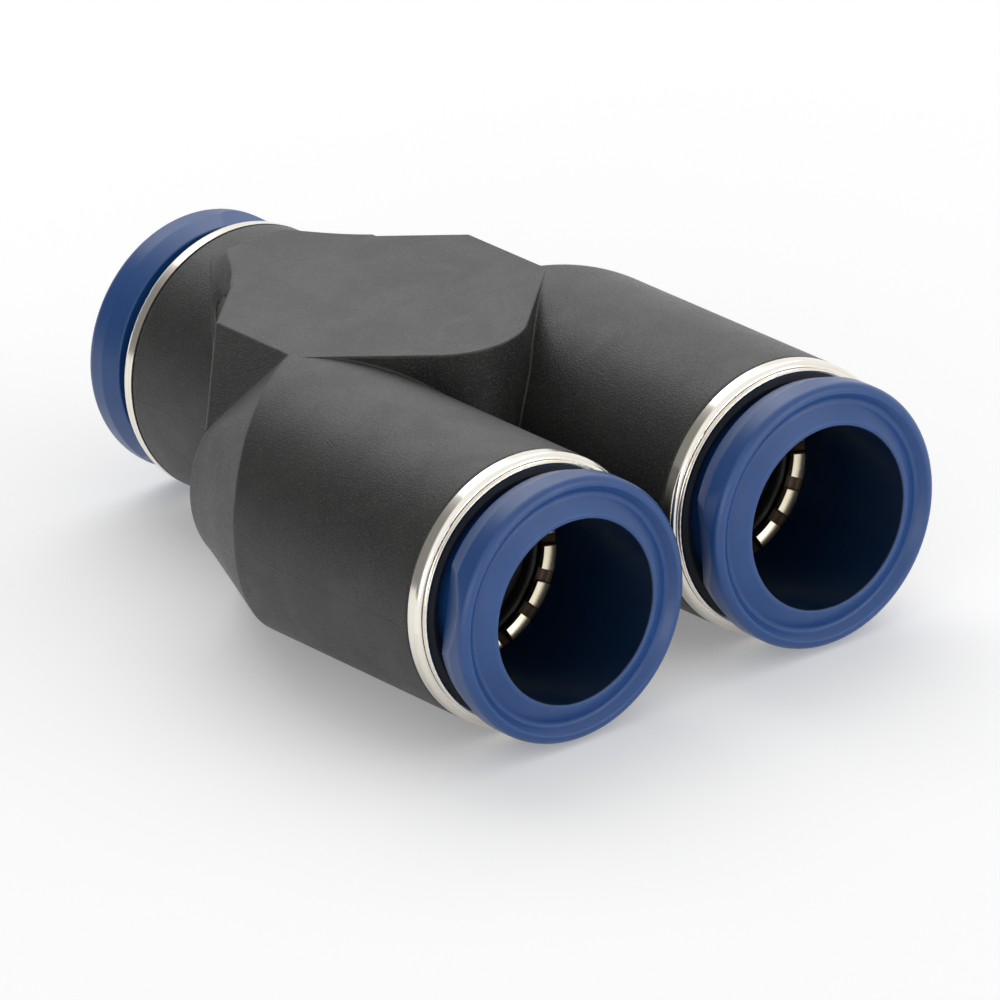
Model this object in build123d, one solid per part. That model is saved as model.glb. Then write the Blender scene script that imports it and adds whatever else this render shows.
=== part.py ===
from build123d import *
import math
import os

# Push-in Y union for plastic tube: one port behind, two side by side in front.
# Millimetres, +Z up, the three port axes level, the single port towards +Y.
# The origin is at the middle of the underside, where the union rests.
# Radii are built up from the tube outwards, and depths run inwards from a sleeve's face.

# Tube, length and spacing
tube_diameter = 12.7
overall_length = 57.8
branch_gap = 2.1

# Release sleeve
sleeve_bore_gap = 0.1
sleeve_wall = 0.8
sleeve_travel = 0.75
bore_lead_in = 0.1
face_lip_width = 0.3
dish_inset = 1.3
dish_depth = 0.8
dish_rounding = 0.3
flange_inset = 0.3
flange_rim_width = 0.65
flange_rim_recess = 0.15
flange_rounding = 0.6
flange_thickness = 3.3
flange_plain_length = 1.9
flange_taper = 0.45
flange_end_gap = 0.4
flange_flat_depth = 1.0
flange_flat_start = 0.9
flange_flat_turns = {"left": 13.0, "right": 0.0, "stem": 62.0}
barb_height = 0.45
barb_length = 0.7
barb_gap = 0.1
barb_side_gap = 0.25
barb_end_gap = 0.6
nose_wall = 0.45
nose_end_wall = 0.15
nose_taper_length = 0.4
nose_gap = 0.075

# Guide collar
neck_running_gap = 0.08
relief_wall = 0.46
collar_clearance = 0.04
collar_recess = 0.15
collar_rim_width = 0.55
collar_mouth_length = 1.0
collar_flange_thickness = 0.4
collar_guide_length = 4.2

# Nickel-plated end ring
ring_skirt_wall = 0.4
ring_skirt_length = 2.3
ring_seat_gap = 0.05
ring_recess_step = 0.1
ring_lip_wall = 0.22
ring_lip_height = 0.25
ring_lip_rounding = 0.1
ring_band_width = 1.1
ring_edge_rounding = 0.45

# Toothed lock claw
claw_sheet = 0.35
claw_bite = 0.1
claw_rim_width = 0.66
claw_cone_depth = 0.75
claw_teeth = 16
claw_root_width = 0.5
claw_slot_share = 0.38
claw_turn = 2.6

# Support ring behind the claw
support_thickness = 1.55
support_gap = 0.25
support_lip_length = 0.35
support_rim_gap = 0.15

# Lip seal
seal_length = 3.4
seal_squeeze = 0.05
seal_lip_width = 0.9
seal_lip_rounding = 0.4
seal_groove_depth = 0.9
seal_heel_gap = 0.08

# Moulded body
mouth_wall = 0.8
mouth_rounding = 0.35
tube_seat_gap = 0.1
tube_seat_length = 6.75
tube_stop_step = 1.65
passage_throat = 1.8

# Block between the barrels and the shoulders behind the branch barrels
wall_angle = 45
block_length = 30.65
stem_bare_length = 1.85
front_apex_rounding = 5.4
shoulder_reach = 11.45
shoulder_angle = 30
shoulder_corner_angle = 42.5
shoulder_crease_rounding = 0.5
shoulder_rim_rounding = 0.35
wall_edge_rounding = 0.35

# Radii, from the tube outwards
tube_radius = tube_diameter / 2
sleeve_bore_radius = tube_radius + sleeve_bore_gap
neck_radius = sleeve_bore_radius + sleeve_wall
barb_radius = neck_radius + barb_height
nose_radius = sleeve_bore_radius + nose_wall
nose_end_radius = sleeve_bore_radius + nose_end_wall
guide_radius = neck_radius + neck_running_gap
collar_relief_radius = barb_radius + barb_side_gap
fit_radius = collar_relief_radius + relief_wall
counterbore_radius = fit_radius + collar_clearance
ring_seat_radius = counterbore_radius + ring_skirt_wall
ring_recess_radius = ring_seat_radius + ring_recess_step
ring_lip_radius = ring_recess_radius + ring_lip_wall
collar_flange_radius = ring_recess_radius - collar_clearance
barrel_radius = ring_seat_radius + mouth_wall
flange_radius = barrel_radius - flange_inset
claw_rim_radius = fit_radius - claw_rim_width
claw_tip_radius = tube_radius - claw_bite
claw_slot_root_radius = claw_rim_radius - claw_root_width
support_lip_radius = tube_radius + support_gap
support_mouth_radius = claw_rim_radius + support_rim_gap
seal_lip_radius = tube_radius - seal_squeeze
seal_groove_radius = seal_lip_radius + seal_groove_depth
tube_seat_radius = tube_radius + tube_seat_gap
passage_radius = tube_seat_radius - tube_stop_step

# Depths, from a sleeve's face inwards
ring_front_depth = flange_thickness + sleeve_travel + flange_end_gap
ring_band_depth = ring_front_depth + ring_lip_height
mouth_depth = ring_band_depth + ring_band_width
ring_skirt_end = mouth_depth + ring_skirt_length
ring_seat_depth = ring_skirt_end + ring_seat_gap
collar_front_depth = ring_front_depth + collar_recess
collar_seat_depth = collar_front_depth + collar_flange_thickness
collar_stop_depth = collar_front_depth + collar_guide_length
barb_depth = collar_stop_depth + barb_gap
barb_back_depth = barb_depth + barb_length
claw_depth = barb_back_depth + sleeve_travel + barb_end_gap
claw_back_depth = claw_depth + claw_sheet
claw_slope = claw_cone_depth / (claw_rim_radius - claw_tip_radius)
nose_touch_depth = claw_depth + claw_slope * (claw_rim_radius - nose_end_radius)
sleeve_end_depth = nose_touch_depth - sleeve_travel - nose_gap
support_back_depth = claw_back_depth + support_thickness
counterbore_depth = support_back_depth + seal_length
tube_stop_depth = counterbore_depth + tube_seat_length
passage_start_depth = tube_stop_depth + passage_throat

# Places along the union
half_length = overall_length / 2
branch_x = barrel_radius + branch_gap / 2
axis_height = barrel_radius
rear_apex_y = half_length - mouth_depth - stem_bare_length
front_apex_y = rear_apex_y - block_length
shoulder_y = front_apex_y + shoulder_reach
middle = Pos(0, 0, axis_height)

# The shoulder's rear rim meets the block's corner, where the 45-degree flank and the rear wall cross.
corner_turn = math.radians(shoulder_corner_angle)
shoulder_rim_radius = barrel_radius / (math.cos(corner_turn) + math.sin(corner_turn))
shoulder_rim_x = branch_x + shoulder_rim_radius * math.cos(corner_turn)
shoulder_rim_y = rear_apex_y - shoulder_rim_x * math.tan(math.radians(wall_angle))

# Each port's own frame has its origin at the sleeve face and +Z into the body.
ports = {
    "left": Plane(origin=(-branch_x, -half_length, axis_height), x_dir=(1, 0, 0), z_dir=(0, 1, 0)),
    "right": Plane(origin=(branch_x, -half_length, axis_height), x_dir=(1, 0, 0), z_dir=(0, 1, 0)),
    "stem": Plane(origin=(0, half_length, axis_height), x_dir=(1, 0, 0), z_dir=(0, -1, 0)),
}


def turned(points, rounded=()):
    """A solid of revolution about Z from (radius, depth) corners, some of them rounded."""
    profile = make_face(Polyline(*points, close=True))
    for corner, radius in rounded:
        vertex = profile.vertices().sort_by_distance(Vector(*corner))[0]
        profile = fillet(vertex, radius)
    return revolve(Plane.XZ * profile, Axis.Z)


def slant_plane(side):
    """The upright plane that ends a branch barrel, facing the stem port."""
    turn = math.radians(shoulder_angle)
    return Plane(origin=(side * branch_x, shoulder_y, 0),
                 x_dir=(side * math.cos(turn), -math.sin(turn), 0),
                 z_dir=(side * math.sin(turn), math.cos(turn), 0))


def make_block():
    """The flat-topped block: 45-degree walls seen from above, sloping flanks seen from the front."""
    slope = math.tan(math.radians(wall_angle))
    right = [(0, front_apex_y), (branch_x, front_apex_y + branch_x * slope), (branch_x, shoulder_y),
             (shoulder_rim_x, shoulder_rim_y), (branch_x, rear_apex_y - branch_x * slope), (0, rear_apex_y)]
    left = [(-x, y) for x, y in reversed(right[1:-1])]
    outline = make_face(Polyline(*right, *left, close=True))
    apex = outline.vertices().sort_by(Axis.Y)[0]
    outline = fillet(apex, front_apex_rounding)
    walls = extrude(outline, amount=barrel_radius, both=True)
    flank_x = branch_x + barrel_radius
    section = make_face(Polyline(
        (-branch_x, barrel_radius), (branch_x, barrel_radius), (flank_x, 0),
        (branch_x, -barrel_radius), (-branch_x, -barrel_radius), (-flank_x, 0), close=True))
    block = walls & extrude(Plane.XZ * section, amount=half_length, both=True)
    behind = [edge for edge in block.edges() if (edge @ 0.5).Y > shoulder_rim_y + wall_edge_rounding]
    level = [edge for edge in behind if abs((edge @ 0).Z - (edge @ 1).Z) < 0.01]
    rear_walls = [edge for edge in level if abs((edge @ 0).X - (edge @ 1).X) > 0.01]
    flanks = [edge for edge in behind if edge not in level]
    return fillet(rear_walls + flanks, wall_edge_rounding)


def make_shoulder(side):
    """The bulge that runs from the slanting end of a branch barrel back to the block's corner."""
    slant = slant_plane(side)
    long_radius = barrel_radius / math.cos(math.radians(shoulder_angle))
    barrel_end = slant * EllipticalCenterArc(
        (0, 0), long_radius, barrel_radius, start_angle=-90, arc_size=180)
    rim_plane = Plane(origin=(side * branch_x, shoulder_rim_y, 0), x_dir=(side, 0, 0), z_dir=(0, 1, 0))
    rim = rim_plane * CenterArc(
        (0, 0), shoulder_rim_radius, -shoulder_corner_angle, 2 * shoulder_corner_angle)
    sections = [make_face([arc, Line(arc @ 1, arc @ 0)]) for arc in (barrel_end, rim)]
    bulge = loft(sections, ruled=True)
    return fillet(bulge.edges().filter_by(GeomType.CIRCLE), shoulder_rim_rounding)


def make_barrel(length):
    """A barrel from its rounded mouth inwards, in its port's own frame."""
    mouth = (barrel_radius, mouth_depth)
    return turned([(0, mouth_depth), mouth, (barrel_radius, length), (0, length)],
                  rounded=[(mouth, mouth_rounding)])


def make_port_cavity():
    """The stepped bore of one port, from its mouth to the start of its passage."""
    return turned([(0, 0), (ring_seat_radius, 0), (ring_seat_radius, ring_seat_depth),
                   (counterbore_radius, ring_seat_depth), (counterbore_radius, counterbore_depth),
                   (tube_seat_radius, counterbore_depth), (tube_seat_radius, tube_stop_depth),
                   (passage_radius, tube_stop_depth), (passage_radius, passage_start_depth),
                   (0, passage_start_depth)])


def make_passages():
    """The two round passages that join the branch ports to the single port."""
    passages = []
    meeting = Vector(0, half_length - passage_start_depth, 0)
    for side in (-1, 1):
        branch_end = Vector(side * branch_x, passage_start_depth - half_length, 0)
        run = meeting - branch_end
        start = Plane(origin=branch_end, z_dir=run)
        passages.append(extrude(start * Circle(passage_radius), amount=run.length))
        passages.append(Pos(branch_end) * Sphere(passage_radius))
    passages.append(Pos(meeting) * Sphere(passage_radius))
    return passages


def make_body():
    """The one-piece moulded body with its three ports."""
    shell = middle * make_block()
    shell += ports["stem"].location * make_barrel(half_length)
    for name, side in (("left", -1), ("right", 1)):
        barrel = ports[name].location * make_barrel(half_length + barrel_radius)
        shell += split(barrel, bisect_by=slant_plane(side), keep=Keep.BOTTOM)
        shell += middle * make_shoulder(side)
    creases = [edge for edge in shell.edges().filter_by(GeomType.ELLIPSE)
               if abs((edge @ 0.5).X) > branch_x and (edge @ 0.5).Y < shoulder_y]
    shell = fillet(creases, shoulder_crease_rounding)
    cavity = make_port_cavity()
    for port in ports.values():
        shell -= port.location * cavity
    for passage in make_passages():
        shell -= middle * passage
    return shell


def make_end_ring():
    """The plated ring that closes the barrel mouth: a band, a thin inner lip and a pressed-in skirt."""
    lip_edge = (ring_lip_radius, ring_front_depth)
    band_front = (barrel_radius, ring_band_depth)
    return turned([(ring_recess_radius, ring_front_depth), lip_edge, (ring_lip_radius, ring_band_depth),
                   band_front, (barrel_radius, mouth_depth), (ring_seat_radius, mouth_depth),
                   (ring_seat_radius, ring_skirt_end), (counterbore_radius, ring_skirt_end),
                   (counterbore_radius, collar_seat_depth), (ring_recess_radius, collar_seat_depth)],
                  rounded=[(band_front, ring_edge_rounding), (lip_edge, ring_lip_rounding)])


def make_guide_collar():
    """The collar that guides the sleeve's neck: its flange sits in the end ring, its mouth is conical."""
    return turned([(guide_radius, collar_front_depth + collar_mouth_length),
                   (collar_flange_radius - collar_rim_width, collar_front_depth),
                   (collar_flange_radius, collar_front_depth), (collar_flange_radius, collar_seat_depth),
                   (fit_radius, collar_seat_depth), (fit_radius, claw_depth),
                   (collar_relief_radius, claw_depth), (collar_relief_radius, collar_stop_depth),
                   (guide_radius, collar_stop_depth)])


def make_sleeve_flange():
    """The sleeve's flange: a dished face, a rounded rim and two slanting finger flats."""
    bore_edge = (sleeve_bore_radius, 0)
    dish = (flange_radius - dish_inset, dish_depth)
    rim = (flange_radius, flange_rim_recess)
    disc = turned([bore_edge, (sleeve_bore_radius + face_lip_width, 0), dish,
                   (flange_radius - flange_rim_width, flange_rim_recess), rim,
                   (flange_radius, flange_plain_length),
                   (flange_radius - flange_taper, flange_thickness), (sleeve_bore_radius, flange_thickness)],
                  rounded=[(bore_edge, bore_lead_in), (dish, dish_rounding), (rim, flange_rounding)])
    taper = flange_flat_depth / (flange_thickness - flange_flat_start)
    front = flange_radius + taper * flange_flat_start
    back = flange_radius - flange_flat_depth
    between_flats = make_face(Polyline((-front, 0), (front, 0), (back, flange_thickness),
                                       (-back, flange_thickness), close=True))
    return disc & extrude(Plane.XZ * between_flats, amount=barrel_radius, both=True)


def make_release_sleeve():
    """The release sleeve: flange, neck, the barb that keeps it in and the nose that lifts the claw."""
    shank = turned([(sleeve_bore_radius, flange_thickness), (neck_radius, flange_thickness),
                    (neck_radius, barb_depth), (barb_radius, barb_depth), (barb_radius, barb_back_depth),
                    (nose_radius, sleeve_end_depth - nose_taper_length),
                    (nose_end_radius, sleeve_end_depth), (sleeve_bore_radius, sleeve_end_depth)])
    return make_sleeve_flange() + shank


def make_lock_claw():
    """The sprung steel claw: a flat rim and sixteen teeth that lean inwards."""
    claw = turned([(fit_radius, claw_depth), (claw_rim_radius, claw_depth),
                   (claw_tip_radius, claw_depth + claw_cone_depth),
                   (claw_tip_radius, claw_depth + claw_cone_depth + claw_sheet),
                   (claw_rim_radius, claw_back_depth), (fit_radius, claw_back_depth)])
    slot_width = 2 * math.pi * claw_tip_radius / claw_teeth * claw_slot_share
    slot = Pos(claw_slot_root_radius / 2, 0, claw_depth + claw_cone_depth) * Box(
        claw_slot_root_radius, slot_width, 4 * claw_cone_depth)
    for index in range(claw_teeth):
        claw -= Rot(0, 0, claw_turn + index * 360 / claw_teeth) * slot
    return claw


def make_support_ring():
    """The ring that backs the claw's rim and keeps the seal in place."""
    return turned([(support_mouth_radius, claw_back_depth), (fit_radius, claw_back_depth),
                   (fit_radius, support_back_depth), (support_lip_radius, support_back_depth),
                   (support_lip_radius, support_back_depth - support_lip_length)])


def make_seal():
    """The rubber seal: a heel against the body and two rounded lips that press on the tube."""
    heel_radius = counterbore_radius - seal_heel_gap
    front = support_back_depth
    back = counterbore_depth
    lips = [(seal_lip_radius, back), (seal_lip_radius, back - seal_lip_width),
            (seal_lip_radius, front + seal_lip_width), (seal_lip_radius, front)]
    groove = (seal_groove_radius, (front + back) / 2)
    return turned([(heel_radius, front), (heel_radius, back), *lips[:2], groove, *lips[2:]],
                  rounded=[(corner, seal_lip_rounding) for corner in lips])


def main():
    os.makedirs("parts", exist_ok=True)
    export_step(make_body(), "parts/y_body.step")
    makers = {
        "end_ring": make_end_ring,
        "guide_collar": make_guide_collar,
        "release_sleeve": make_release_sleeve,
        "lock_claw": make_lock_claw,
        "support_ring": make_support_ring,
        "tube_seal": make_seal,
    }
    for piece, maker in makers.items():
        solid = maker()
        for name, port in ports.items():
            turn = flange_flat_turns[name] if piece == "release_sleeve" else 0
            export_step(port.location * Rot(0, 0, turn) * solid, f"parts/{piece}_{name}.step")


main()
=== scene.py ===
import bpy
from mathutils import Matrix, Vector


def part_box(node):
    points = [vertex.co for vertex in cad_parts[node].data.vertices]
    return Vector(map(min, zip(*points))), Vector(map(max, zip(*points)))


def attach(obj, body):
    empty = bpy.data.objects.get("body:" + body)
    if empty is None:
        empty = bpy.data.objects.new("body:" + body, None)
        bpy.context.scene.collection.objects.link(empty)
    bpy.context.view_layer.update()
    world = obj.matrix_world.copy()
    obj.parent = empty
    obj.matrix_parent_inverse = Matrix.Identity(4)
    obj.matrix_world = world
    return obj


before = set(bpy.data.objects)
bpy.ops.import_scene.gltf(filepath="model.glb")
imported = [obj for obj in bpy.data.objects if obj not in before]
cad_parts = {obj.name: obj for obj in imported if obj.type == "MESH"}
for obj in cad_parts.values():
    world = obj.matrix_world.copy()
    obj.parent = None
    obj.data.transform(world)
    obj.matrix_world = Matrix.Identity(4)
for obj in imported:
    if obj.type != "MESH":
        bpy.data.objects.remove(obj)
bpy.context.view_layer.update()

import math

import bmesh
import bpy
from mathutils import Matrix, Vector

mm = 0.001
white = (1, 1, 1, 1)
scene = bpy.context.scene

# where the three ports lie, read from the end rings
ports = {}
for port in ("left", "right", "stem"):
    low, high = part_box("end_ring_" + port)
    ports[port] = {"x": (low.x + high.x) / 2, "z": (low.z + high.z) / 2}
axisHeight = ports["stem"]["z"]


# small helpers for building node trees: a value is either another node's output or a plain number or colour

def feed(tree, node, inputs):
    for name, value in inputs.items():
        if isinstance(value, bpy.types.NodeSocket):
            tree.links.new(value, node.inputs[name])
        else:
            node.inputs[name].default_value = value


def addNode(tree, kind, inputs):
    node = tree.nodes.new(kind)
    feed(tree, node, inputs)
    return node


def addMath(tree, operation, first, second=0.0, clamp=False):
    node = addNode(tree, "ShaderNodeMath", {0: first, 1: second})
    node.operation = operation
    node.use_clamp = clamp
    return node.outputs[0]


def addDot(tree, first, second):
    node = addNode(tree, "ShaderNodeVectorMath", {0: first, 1: second})
    node.operation = "DOT_PRODUCT"
    return node.outputs["Value"]


def addRange(tree, value, fromLow, fromHigh, toLow, toHigh, smooth=False):
    node = addNode(tree, "ShaderNodeMapRange", {
        "Value": value, "From Min": fromLow, "From Max": fromHigh, "To Min": toLow, "To Max": toHigh})
    node.interpolation_type = "SMOOTHSTEP" if smooth else "LINEAR"
    return node.outputs["Result"]


def mixColors(tree, factor, first, second):
    node = tree.nodes.new("ShaderNodeMix")
    node.data_type = "RGBA"
    feed(tree, node, {0: factor, 6: first, 7: second})    # the sockets that a colour mix uses
    return node.outputs[2]


def newGroup(name, inputs, outputs):
    group = bpy.data.node_groups.new(name, "ShaderNodeTree")
    for label, kind, value in inputs:
        socket = group.interface.new_socket(label, in_out="INPUT", socket_type=kind)
        socket.default_value = value
    for label, kind in outputs:
        group.interface.new_socket(label, in_out="OUTPUT", socket_type=kind)
    entry = group.nodes.new("NodeGroupInput")
    leave = group.nodes.new("NodeGroupOutput")
    return group, entry.outputs, leave.inputs


def useGroup(tree, group, inputs):
    node = tree.nodes.new("ShaderNodeGroup")
    node.node_tree = group
    feed(tree, node, inputs)
    return node.outputs


def objectPoint(tree):
    return tree.nodes.new("ShaderNodeTexCoord").outputs["Object"]


def splitPoint(tree):
    return addNode(tree, "ShaderNodeSeparateXYZ", {0: objectPoint(tree)}).outputs


# how far a point lies from a port's axis, across and upwards, and the straight distance
def fromAxis(tree, parts, given):
    acrossX = addMath(tree, "SUBTRACT", parts["X"], given["Axis X"])
    acrossZ = addMath(tree, "SUBTRACT", parts["Z"], given["Axis Z"])
    squares = addMath(tree, "ADD", addMath(tree, "MULTIPLY", acrossX, acrossX),
                      addMath(tree, "MULTIPLY", acrossZ, acrossZ))
    return acrossX, acrossZ, addMath(tree, "SQRT", squares)


# spark-eroded mould finish: fine pits, with broader cloudy patches where the melt flowed
grainSetup = {"pitDetail": 3.0, "pitRoughness": 0.6, "cellShare": 0.35, "cloudDetail": 4.0,
              "cloudRoughness": 0.55, "cloudDistortion": 0.6, "cloudRange": (0.35, 0.68),
              "speckRange": (0.54, 0.68)}


def buildMouldGrain():
    group, given, result = newGroup(
        "MouldGrain",
        [("Pit Size mm", "NodeSocketFloat", 0.12), ("Cloud Size mm", "NodeSocketFloat", 4.0),
         ("Cloud Strength", "NodeSocketFloat", 0.5)],
        [("Height", "NodeSocketFloat"), ("Cloud", "NodeSocketFloat"), ("Speck", "NodeSocketFloat")])
    point = objectPoint(group)
    pitScale = addMath(group, "DIVIDE", 1.0 / mm, given["Pit Size mm"])
    cloudScale = addMath(group, "DIVIDE", 1.0 / mm, given["Cloud Size mm"])
    pits = addNode(group, "ShaderNodeTexNoise", {
        "Vector": point, "Scale": pitScale, "Detail": grainSetup["pitDetail"],
        "Roughness": grainSetup["pitRoughness"]})
    cells = addNode(group, "ShaderNodeTexVoronoi", {"Vector": point, "Scale": pitScale})
    cellHeight = addMath(group, "MULTIPLY", cells.outputs["Distance"], grainSetup["cellShare"])
    grain = addMath(group, "ADD", pits.outputs["Fac"], cellHeight)
    clouds = addNode(group, "ShaderNodeTexNoise", {
        "Vector": point, "Scale": cloudScale, "Detail": grainSetup["cloudDetail"],
        "Roughness": grainSetup["cloudRoughness"], "Distortion": grainSetup["cloudDistortion"]})
    cloud = addRange(group, clouds.outputs["Fac"], *grainSetup["cloudRange"], 0.0, 1.0, smooth=True)
    cloud = addMath(group, "MULTIPLY", cloud, given["Cloud Strength"])
    speck = addRange(group, pits.outputs["Fac"], *grainSetup["speckRange"], 0.0, 1.0)
    group.links.new(grain, result["Height"])
    group.links.new(cloud, result["Cloud"])
    group.links.new(speck, result["Speck"])
    return group


# a mask that is 1 along rounded edges, convex and concave, broken up in patches; colours lightened by it are
# a painted highlight along these edges
edgeSetup = {"samples": 6, "bendRange": (0.995, 0.93), "rubScale": 900.0, "rubDetail": 4.0,
             "rubRange": (0.35, 0.65)}


def buildEdgeHighlightMask():
    group, given, result = newGroup(
        "EdgeHighlightMask", [("Edge Width mm", "NodeSocketFloat", 0.3), ("Breakup", "NodeSocketFloat", 0.4)],
        [("Mask", "NodeSocketFloat"), ("Normal", "NodeSocketVector")])
    radius = addMath(group, "MULTIPLY", given["Edge Width mm"], mm)
    soft = addNode(group, "ShaderNodeBevel", {"Radius": radius})
    soft.samples = edgeSetup["samples"]
    plain = group.nodes.new("ShaderNodeNewGeometry").outputs["Normal"]
    likeness = addDot(group, soft.outputs["Normal"], plain)
    bend = addRange(group, likeness, *edgeSetup["bendRange"], 0.0, 1.0, smooth=True)
    rub = addNode(group, "ShaderNodeTexNoise", {
        "Vector": objectPoint(group), "Scale": edgeSetup["rubScale"], "Detail": edgeSetup["rubDetail"]})
    patchy = addRange(group, rub.outputs["Fac"], *edgeSetup["rubRange"], 0.0, 1.0)
    keep = addMath(group, "MULTIPLY", patchy, given["Breakup"])
    keep = addMath(group, "SUBTRACT", 1.0, keep)
    group.links.new(addMath(group, "MULTIPLY", bend, keep, clamp=True), result["Mask"])
    group.links.new(soft.outputs["Normal"], result["Normal"])
    return group


# fine circular tool lines about a port's axis
turnedSetup = {"aroundScale": 0.02 * mm, "lineDetail": 2.0, "streakShare": 0.3, "streakDetail": 3.0,
               "streakRange": (0.3, 0.7)}


def buildTurnedLines():
    group, given, result = newGroup(
        "TurnedLines",
        [("Axis X", "NodeSocketFloat", 0.0), ("Axis Z", "NodeSocketFloat", 0.0),
         ("Pitch mm", "NodeSocketFloat", 0.05)],
        [("Height", "NodeSocketFloat"), ("Streak", "NodeSocketFloat")])
    parts = splitPoint(group)
    acrossX, acrossZ, radius = fromAxis(group, parts, given)
    turn = addMath(group, "ARCTAN2", acrossZ, acrossX)
    around = addMath(group, "MULTIPLY", turn, turnedSetup["aroundScale"])
    place = addNode(group, "ShaderNodeCombineXYZ", {"X": radius, "Y": parts["Y"], "Z": around}).outputs[0]
    scale = addMath(group, "DIVIDE", 1.0 / mm, given["Pitch mm"])
    lines = addNode(group, "ShaderNodeTexNoise", {
        "Vector": place, "Scale": scale, "Detail": turnedSetup["lineDetail"]})
    streakScale = addMath(group, "MULTIPLY", scale, turnedSetup["streakShare"])
    streaks = addNode(group, "ShaderNodeTexNoise", {
        "Vector": place, "Scale": streakScale, "Detail": turnedSetup["streakDetail"]})
    streak = addRange(group, streaks.outputs["Fac"], *turnedSetup["streakRange"], 0.0, 1.0)
    group.links.new(lines.outputs["Fac"], result["Height"])
    group.links.new(streak, result["Streak"])
    return group


# the thin seam that two mould halves leave at one height
def buildMouldSeam():
    group, given, result = newGroup(
        "MouldSeam",
        [("Seam Height", "NodeSocketFloat", 0.0), ("Seam Width mm", "NodeSocketFloat", 0.08)],
        [("Mask", "NodeSocketFloat")])
    above = addMath(group, "SUBTRACT", splitPoint(group)["Z"], given["Seam Height"])
    away = addMath(group, "ABSOLUTE", above)
    width = addMath(group, "MULTIPLY", given["Seam Width mm"], mm)
    group.links.new(addRange(group, away, 0.0, width, 1.0, 0.0, smooth=True), result["Mask"])
    return group


# 1 on the wall of a port's bore, where a darker blue is painted as shade, deeper in colour than the sleeve's
# faces
boreShadeSetup = {"fade": 0.06 * mm}


def buildBoreShadeMask():
    group, given, result = newGroup(
        "BoreShadeMask",
        [("Axis X", "NodeSocketFloat", 0.0), ("Axis Z", "NodeSocketFloat", 0.0),
         ("Bore Radius", "NodeSocketFloat", 0.0065)],
        [("Mask", "NodeSocketFloat")])
    radius = fromAxis(group, splitPoint(group), given)[2]
    past = addMath(group, "SUBTRACT", radius, given["Bore Radius"])
    group.links.new(addRange(group, past, 0.0, boreShadeSetup["fade"], 1.0, 0.0, smooth=True), result["Mask"])
    return group


mouldGrain = buildMouldGrain()
edgeHighlightMask = buildEdgeHighlightMask()
turnedLines = buildTurnedLines()
mouldSeam = buildMouldSeam()
boreShadeMask = buildBoreShadeMask()
print("shader groups built")


def newMaterial(name, settings):
    material = bpy.data.materials.new(name)
    material.use_nodes = True
    tree = material.node_tree
    shader = tree.nodes["Principled BSDF"]
    feed(tree, shader, settings)
    return material, tree, shader


def bumpInto(tree, shader, height, distance, normal=None):
    bump = addNode(tree, "ShaderNodeBump", {"Height": height, "Strength": 1.0, "Distance": distance})
    if normal is not None:
        tree.links.new(normal, bump.inputs["Normal"])
    tree.links.new(bump.outputs["Normal"], shader.inputs["Normal"])


def dress(nodeNames, material):
    for name in nodeNames:
        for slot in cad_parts[name].material_slots:
            slot.material = material


body = {"color": (0.014, 0.014, 0.0135, 1), "cloudColor": (0.024, 0.0235, 0.022, 1),
        "edgeHighlightAndSpeckColor": (0.075, 0.075, 0.07, 1), "edgeHighlightTint": 0.45, "speckTint": 0.7, "ior": 1.5,
        "roughness": 0.42, "cloudRoughness": 0.36, "grainMiddle": 0.62, "grainRoughness": 0.5,
        "pitSize": 0.13, "pitDepth": 0.030 * mm, "cloudSize": 3.5, "cloudStrength": 0.8,
        "edgeWidth": 0.28, "edgeBreakup": 0.5, "seamWidth": 0.07, "seamHeight": 0.5}


def makeBodyPlastic():
    material, tree, shader = newMaterial("bodyPlastic", {"IOR": body["ior"]})
    grain = useGroup(tree, mouldGrain, {
        "Pit Size mm": body["pitSize"], "Cloud Size mm": body["cloudSize"],
        "Cloud Strength": body["cloudStrength"]})
    edge = useGroup(tree, edgeHighlightMask, {"Edge Width mm": body["edgeWidth"], "Breakup": body["edgeBreakup"]})
    seam = useGroup(tree, mouldSeam, {"Seam Height": axisHeight, "Seam Width mm": body["seamWidth"]})
    color = mixColors(tree, grain["Cloud"], body["color"], body["cloudColor"])
    # painted highlight: a paler colour along rounded edges
    edgeHighlight = addMath(tree, "MULTIPLY", edge["Mask"], body["edgeHighlightTint"])
    color = mixColors(tree, edgeHighlight, color, body["edgeHighlightAndSpeckColor"])
    speckled = addMath(tree, "MULTIPLY", grain["Speck"], body["speckTint"])
    # the grain's specks take the same pale colour
    color = mixColors(tree, speckled, color, body["edgeHighlightAndSpeckColor"])
    tree.links.new(color, shader.inputs["Base Color"])
    rough = addRange(tree, grain["Cloud"], 0.0, 1.0, body["roughness"], body["cloudRoughness"])
    grainRough = addMath(tree, "SUBTRACT", grain["Height"], body["grainMiddle"])
    grainRough = addMath(tree, "MULTIPLY", grainRough, body["grainRoughness"])
    tree.links.new(addMath(tree, "ADD", rough, grainRough, clamp=True), shader.inputs["Roughness"])
    seamHeight = addMath(tree, "MULTIPLY", seam["Mask"], body["seamHeight"])
    height = addMath(tree, "ADD", grain["Height"], seamHeight)
    bumpInto(tree, shader, height, body["pitDepth"], normal=edge["Normal"])
    return material


# the rolling blend that fills the crease between the single barrel and the block's two rear walls
blend = {"radius": 3.2 * mm, "apexRadius": 0.6 * mm, "apexY": 21.25 * mm, "growTurn": 18.0,
         "firstTurn": 5.0, "rows": 90, "arcSteps": 14, "sink": 0.2 * mm, "overlap": 0.4 * mm,
         "underLevel": 0.004 * mm, "sharpAngle": 35.0}


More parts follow.
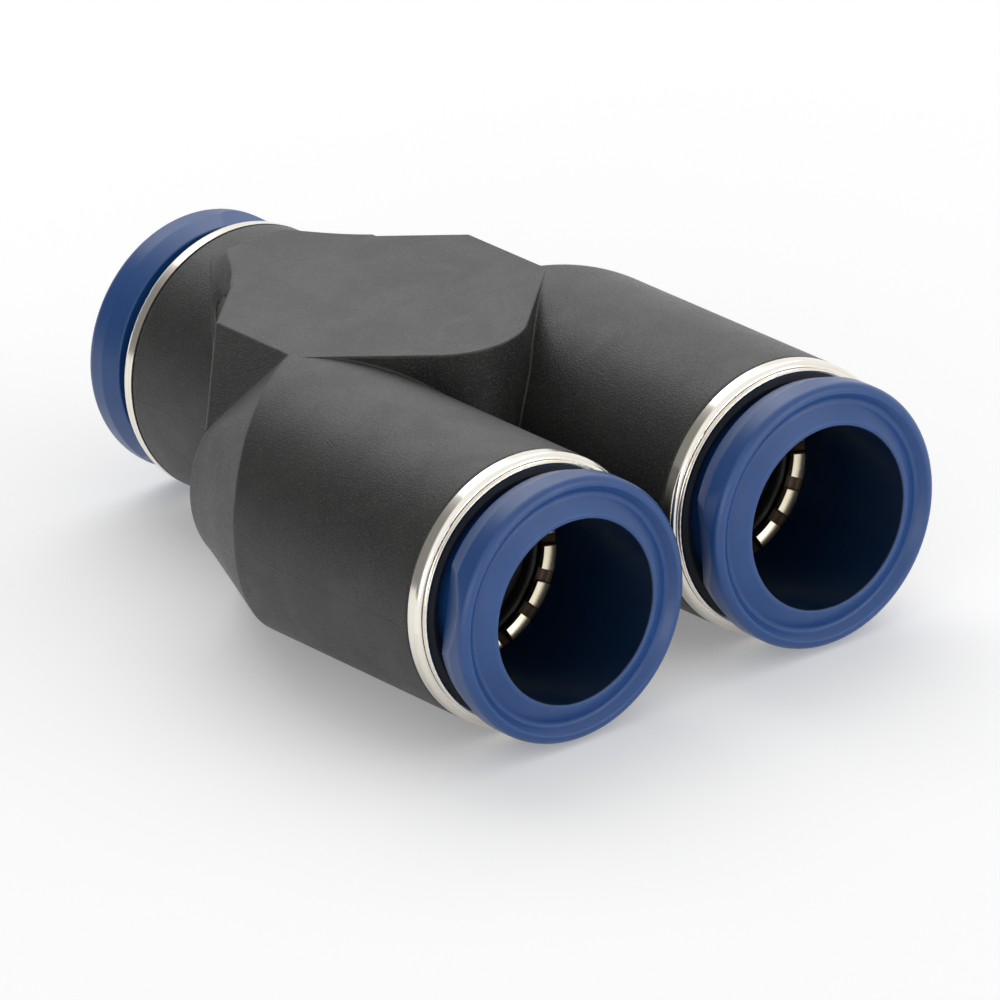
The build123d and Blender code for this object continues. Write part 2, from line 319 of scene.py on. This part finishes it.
def blendRow(side, turnDegrees):
    turn = math.radians(turnDegrees)
    fromApex = min(turnDegrees, 180.0 - turnDegrees) - blend["firstTurn"]
    grown = min(1.0, max(0.0, fromApex / blend["growTurn"]))
    radius = blend["apexRadius"] + (blend["radius"] - blend["apexRadius"]) * grown * grown * (3 - 2 * grown)
    barrel = axisHeight    # the barrels rest on the ground, so their radius is the axis's height
    wallOut = Vector((side, 1, 0)).normalized()
    across = (barrel + radius) * math.sin(turn)
    center = Vector((side * across, blend["apexY"] + radius * math.sqrt(2) - across,
                     axisHeight + (barrel + radius) * math.cos(turn)))
    toBarrel = Vector((-side * math.sin(turn), 0, -math.cos(turn)))
    toWall = -wallOut
    spread = toBarrel.angle(toWall)
    endShare = 1.0
    if abs(center.z - axisHeight) > barrel:    # this arc stops level with the block's flat top or underside
        drop = (abs(center.z - axisHeight) - barrel) / radius * math.sin(spread) / abs(math.cos(turn))
        endShare = 1 - math.asin(min(1.0, drop)) / spread
    points = [center + toBarrel * (radius + blend["sink"])]
    for step in range(blend["arcSteps"] + 1):
        share = endShare * step / blend["arcSteps"]
        direction = toBarrel * math.sin((1 - share) * spread) + toWall * math.sin(share * spread)
        points.append(center + direction / math.sin(spread) * radius)
    last = points[-1]
    depth = (last - Vector((0, blend["apexY"], 0))).dot(wallOut)
    inside = last - wallOut * (depth + blend["overlap"])
    level = max(0.0, abs(inside.z - axisHeight) - blend["underLevel"])
    inside.z = axisHeight + math.copysign(level, inside.z - axisHeight)
    points.append(inside)
    points.append(inside - Vector((0, 0, math.copysign(blend["overlap"], inside.z - axisHeight))))
    return points


def makeStemBlend(name, side, material):
    mesh = bpy.data.meshes.new(name)
    first = blend["firstTurn"]
    rows = [blendRow(side, first + (180.0 - 2 * first) * row / blend["rows"])
            for row in range(blend["rows"] + 1)]
    count = len(rows[0])
    faces = []
    for row in range(len(rows) - 1):
        for step in range(count):
            following = (step + 1) % count
            faces.append((row * count + step, (row + 1) * count + step,
                          (row + 1) * count + following, row * count + following))
    faces.append(tuple(range(count)))
    faces.append(tuple(reversed(range((len(rows) - 1) * count, len(rows) * count))))
    mesh.from_pydata([point for row in rows for point in row], [], faces)
    builder = bmesh.new()
    builder.from_mesh(mesh)
    bmesh.ops.recalc_face_normals(builder, faces=builder.faces)
    builder.to_mesh(mesh)
    builder.free()
    mesh.shade_smooth()
    mesh.set_sharp_from_angle(angle=math.radians(blend["sharpAngle"]))
    mesh.materials.append(material)
    piece = bpy.data.objects.new(name, mesh)
    scene.collection.objects.link(piece)
    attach(piece, "union")


sleeve = {"color": (0.010, 0.060, 0.215, 1), "cloudColor": (0.014, 0.072, 0.25, 1),
          "edgeHighlightAndSpeckColor": (0.04, 0.14, 0.40, 1), "edgeHighlightTint": 0.5, "boreShadeColor": (0.002, 0.014, 0.045, 1),
          "boreRadius": 6.47 * mm, "ior": 1.55, "roughness": 0.37, "cloudRoughness": 0.29,
          "pitSize": 0.10, "pitDepth": 0.006 * mm, "cloudSize": 5.0, "cloudStrength": 0.7,
          "edgeWidth": 0.22, "edgeBreakup": 0.3, "glowThrough": 0.12, "glowColors": (0.3, 0.5, 1.0),
          "glowDepth": 0.6 * mm}


def makeSleeveBlue(port):
    material, tree, shader = newMaterial("sleeveBlue_" + port, {
        "IOR": sleeve["ior"], "Subsurface Weight": sleeve["glowThrough"],
        "Subsurface Radius": sleeve["glowColors"], "Subsurface Scale": sleeve["glowDepth"]})
    grain = useGroup(tree, mouldGrain, {
        "Pit Size mm": sleeve["pitSize"], "Cloud Size mm": sleeve["cloudSize"],
        "Cloud Strength": sleeve["cloudStrength"]})
    edge = useGroup(tree, edgeHighlightMask, {"Edge Width mm": sleeve["edgeWidth"], "Breakup": sleeve["edgeBreakup"]})
    boreShade = useGroup(tree, boreShadeMask, {
        "Axis X": ports[port]["x"], "Axis Z": ports[port]["z"], "Bore Radius": sleeve["boreRadius"]})
    color = mixColors(tree, grain["Cloud"], sleeve["color"], sleeve["cloudColor"])
    # painted highlight: a lighter blue along rounded edges
    edgeHighlight = addMath(tree, "MULTIPLY", edge["Mask"], sleeve["edgeHighlightTint"])
    color = mixColors(tree, edgeHighlight, color, sleeve["edgeHighlightAndSpeckColor"])
    # painted shade: the bore wall gets a darker blue than the sleeve's faces
    color = mixColors(tree, boreShade["Mask"], color, sleeve["boreShadeColor"])
    tree.links.new(color, shader.inputs["Base Color"])
    rough = addRange(tree, grain["Cloud"], 0.0, 1.0, sleeve["roughness"], sleeve["cloudRoughness"])
    tree.links.new(rough, shader.inputs["Roughness"])
    bumpInto(tree, shader, grain["Height"], sleeve["pitDepth"], normal=edge["Normal"])
    return material


# the three turned metals: the end ring's nickel, the claw's spring steel and the support ring behind it
ring = {"color": (0.92, 0.88, 0.79, 1), "streakColor": (0.78, 0.73, 0.64, 1), "roughness": 0.10,
        "streakRoughness": 0.22, "pitch": 0.045, "lineDepth": 0.0011 * mm}
claw = {"color": (0.95, 0.86, 0.66, 1), "streakColor": (0.84, 0.74, 0.54, 1), "roughness": 0.24,
        "streakRoughness": 0.34, "pitch": 0.06, "lineDepth": 0.002 * mm}
support = {"color": (0.060, 0.042, 0.030, 1), "streakColor": (0.036, 0.026, 0.019, 1), "roughness": 0.3,
           "streakRoughness": 0.45, "pitch": 0.08, "lineDepth": 0.003 * mm}


def makeTurnedMetal(name, metal, port):
    material, tree, shader = newMaterial(name + "_" + port, {"Metallic": 1.0})
    lines = useGroup(tree, turnedLines, {
        "Axis X": ports[port]["x"], "Axis Z": ports[port]["z"], "Pitch mm": metal["pitch"]})
    color = mixColors(tree, lines["Streak"], metal["color"], metal["streakColor"])
    tree.links.new(color, shader.inputs["Base Color"])
    rough = addRange(tree, lines["Streak"], 0.0, 1.0, metal["roughness"], metal["streakRoughness"])
    tree.links.new(rough, shader.inputs["Roughness"])
    bumpInto(tree, shader, lines["Height"], metal["lineDepth"])
    return material


collar = {"color": (0.040, 0.042, 0.046, 1), "cloudColor": (0.052, 0.054, 0.058, 1), "ior": 1.5,
          "roughness": 0.42, "cloudRoughness": 0.32, "pitSize": 0.09, "pitDepth": 0.005 * mm,
          "cloudSize": 2.0, "cloudStrength": 0.6, "edgeWidth": 0.12, "edgeBreakup": 0.2}


def makeCollarPlastic():
    material, tree, shader = newMaterial("collarPlastic", {"IOR": collar["ior"]})
    grain = useGroup(tree, mouldGrain, {
        "Pit Size mm": collar["pitSize"], "Cloud Size mm": collar["cloudSize"],
        "Cloud Strength": collar["cloudStrength"]})
    edge = useGroup(tree, edgeHighlightMask, {"Edge Width mm": collar["edgeWidth"], "Breakup": collar["edgeBreakup"]})
    color = mixColors(tree, grain["Cloud"], collar["color"], collar["cloudColor"])
    tree.links.new(color, shader.inputs["Base Color"])
    rough = addRange(tree, grain["Cloud"], 0.0, 1.0, collar["roughness"], collar["cloudRoughness"])
    tree.links.new(rough, shader.inputs["Roughness"])
    bumpInto(tree, shader, grain["Height"], collar["pitDepth"], normal=edge["Normal"])
    return material


seal = {"color": (0.012, 0.012, 0.012, 1), "cloudColor": (0.022, 0.022, 0.021, 1), "ior": 1.52,
        "roughness": 0.55, "cloudRoughness": 0.4, "pitSize": 0.2, "pitDepth": 0.008 * mm,
        "cloudSize": 3.0, "cloudStrength": 0.5}


def makeSealRubber():
    material, tree, shader = newMaterial("sealRubber", {"IOR": seal["ior"]})
    grain = useGroup(tree, mouldGrain, {
        "Pit Size mm": seal["pitSize"], "Cloud Size mm": seal["cloudSize"],
        "Cloud Strength": seal["cloudStrength"]})
    color = mixColors(tree, grain["Cloud"], seal["color"], seal["cloudColor"])
    tree.links.new(color, shader.inputs["Base Color"])
    rough = addRange(tree, grain["Cloud"], 0.0, 1.0, seal["roughness"], seal["cloudRoughness"])
    tree.links.new(rough, shader.inputs["Roughness"])
    bumpInto(tree, shader, grain["Height"], seal["pitDepth"])
    return material


bodyPlastic = makeBodyPlastic()
dress(["y_body"], bodyPlastic)
makeStemBlend("stemBlendLeft", -1, bodyPlastic)
makeStemBlend("stemBlendRight", 1, bodyPlastic)
dress(["guide_collar_" + port for port in ports], makeCollarPlastic())
dress(["tube_seal_" + port for port in ports], makeSealRubber())
for port in ports:
    dress(["release_sleeve_" + port], makeSleeveBlue(port))
    dress(["end_ring_" + port], makeTurnedMetal("ringNickel", ring, port))
    dress(["lock_claw_" + port], makeTurnedMetal("clawSteel", claw, port))
    dress(["support_ring_" + port], makeTurnedMetal("supportMetal", support, port))
print("materials on every node")


# the photograph's view: a long lens about a metre away
view = {"azimuth": 35.417, "down": 23.10, "roll": -4.503, "distance": 1.0149, "lens": 540.0,
        "sensor": 36.0, "clip": (0.01, 20.0), "aim": (-2.785 * mm, -10.066 * mm, 9.65 * mm)}


def makeCamera():
    turn = math.radians(view["azimuth"])
    down = math.radians(view["down"])
    roll = math.radians(view["roll"])
    ahead = Vector((math.sin(turn) * math.cos(down), math.cos(turn) * math.cos(down), -math.sin(down)))
    level = ahead.cross(Vector((0, 0, 1))).normalized()
    above = level.cross(ahead)
    right = level * math.cos(roll) + above * math.sin(roll)
    up = right.cross(ahead)
    place = Vector(view["aim"]) - ahead * view["distance"]
    lens = bpy.data.cameras.new("photoCamera")
    lens.lens = view["lens"]
    lens.sensor_width = view["sensor"]
    lens.clip_start, lens.clip_end = view["clip"]
    cameraObject = bpy.data.objects.new("photoCamera", lens)
    turned = Matrix((right, up, -ahead)).transposed().to_4x4()
    cameraObject.matrix_world = Matrix.Translation(place) @ turned
    scene.collection.objects.link(cameraObject)
    scene.camera = cameraObject


# 1 on what the camera sees straight on, in a reflection or through glass
def seenMask(tree, path):
    seen = addMath(tree, "ADD", path["Is Camera Ray"], path["Is Glossy Ray"])
    return addMath(tree, "ADD", seen, path["Is Transmission Ray"], clamp=True)


floorLook = {"size": 6.0, "drop": 0.03 * mm, "color": (0.86, 0.86, 0.86, 1), "roughness": 0.9,
             "glow": 0.24}


def makeFloor():
    half = floorLook["size"] / 2
    mesh = bpy.data.meshes.new("floor")
    corners = [(x, y, -floorLook["drop"])
               for x, y in ((-half, -half), (half, -half), (half, half), (-half, half))]
    mesh.from_pydata(corners, [], [(0, 1, 2, 3)])
    floor = bpy.data.objects.new("floor", mesh)
    scene.collection.objects.link(floor)
    material, tree, shader = newMaterial("floorPaper", {
        "Base Color": floorLook["color"], "Roughness": floorLook["roughness"], "Emission Color": white})
    path = tree.nodes.new("ShaderNodeLightPath").outputs
    glow = addMath(tree, "MULTIPLY", seenMask(tree, path), floorLook["glow"])
    tree.links.new(glow, shader.inputs["Emission Strength"])
    mesh.materials.append(material)


lights = {
    "overhead": {"at": (0.35, 0.55, 0.85), "to": (0, 0, 0), "size": (1.1, 0.8), "power": 4.0},
    "leftFill": {"at": (-1.0, -0.85, 0.22), "to": (0, 0, 0.01), "size": (0.9, 0.5), "power": 2.2},
    "frontFill": {"at": (0.45, -1.10, 0.32), "to": (0, 0, 0.01), "size": (0.8, 0.5), "power": 2.4},
}


def makeLights():
    for name, setting in lights.items():
        lamp = bpy.data.lights.new(name, "AREA")
        lamp.shape = "RECTANGLE"
        lamp.size, lamp.size_y = setting["size"]
        lamp.energy = setting["power"]
        lampObject = bpy.data.objects.new(name, lamp)
        place = Vector(setting["at"])
        aim = Vector(setting["to"]) - place
        lampObject.location = place
        lampObject.rotation_euler = aim.to_track_quat("-Z", "Y").to_euler()
        scene.collection.objects.link(lampObject)


# a pale room, white to the camera and in reflections, with a dark flag behind on the left, which every
# ray but the camera's own meets
room ={"fill": 0.66, "white": 1.0, "flagToward": (-0.72, 0.62, 0.31), "flagRange": (0.55, 0.9),
        "flagShade": 0.75}


def makeRoom():
    world = bpy.data.worlds.new("room")
    scene.world = world
    world.use_nodes = True
    tree = world.node_tree
    background = tree.nodes["Background"]
    background.inputs["Color"].default_value = white
    path = tree.nodes.new("ShaderNodeLightPath").outputs
    strength = addRange(tree, seenMask(tree, path), 0.0, 1.0, room["fill"], room["white"])
    looking = tree.nodes.new("ShaderNodeTexCoord").outputs["Generated"]
    toward = addDot(tree, looking, room["flagToward"])
    flag = addRange(tree, toward, *room["flagRange"], 0.0, room["flagShade"], smooth=True)
    flag = addMath(tree, "MULTIPLY", flag, addMath(tree, "SUBTRACT", 1.0, path["Is Camera Ray"]))
    strength = addMath(tree, "MULTIPLY", strength, addMath(tree, "SUBTRACT", 1.0, flag))
    tree.links.new(strength, background.inputs["Strength"])


makeCamera()
makeFloor()
makeLights()
makeRoom()
scene.view_settings.view_transform = "Standard"
print("camera, floor and lights set")
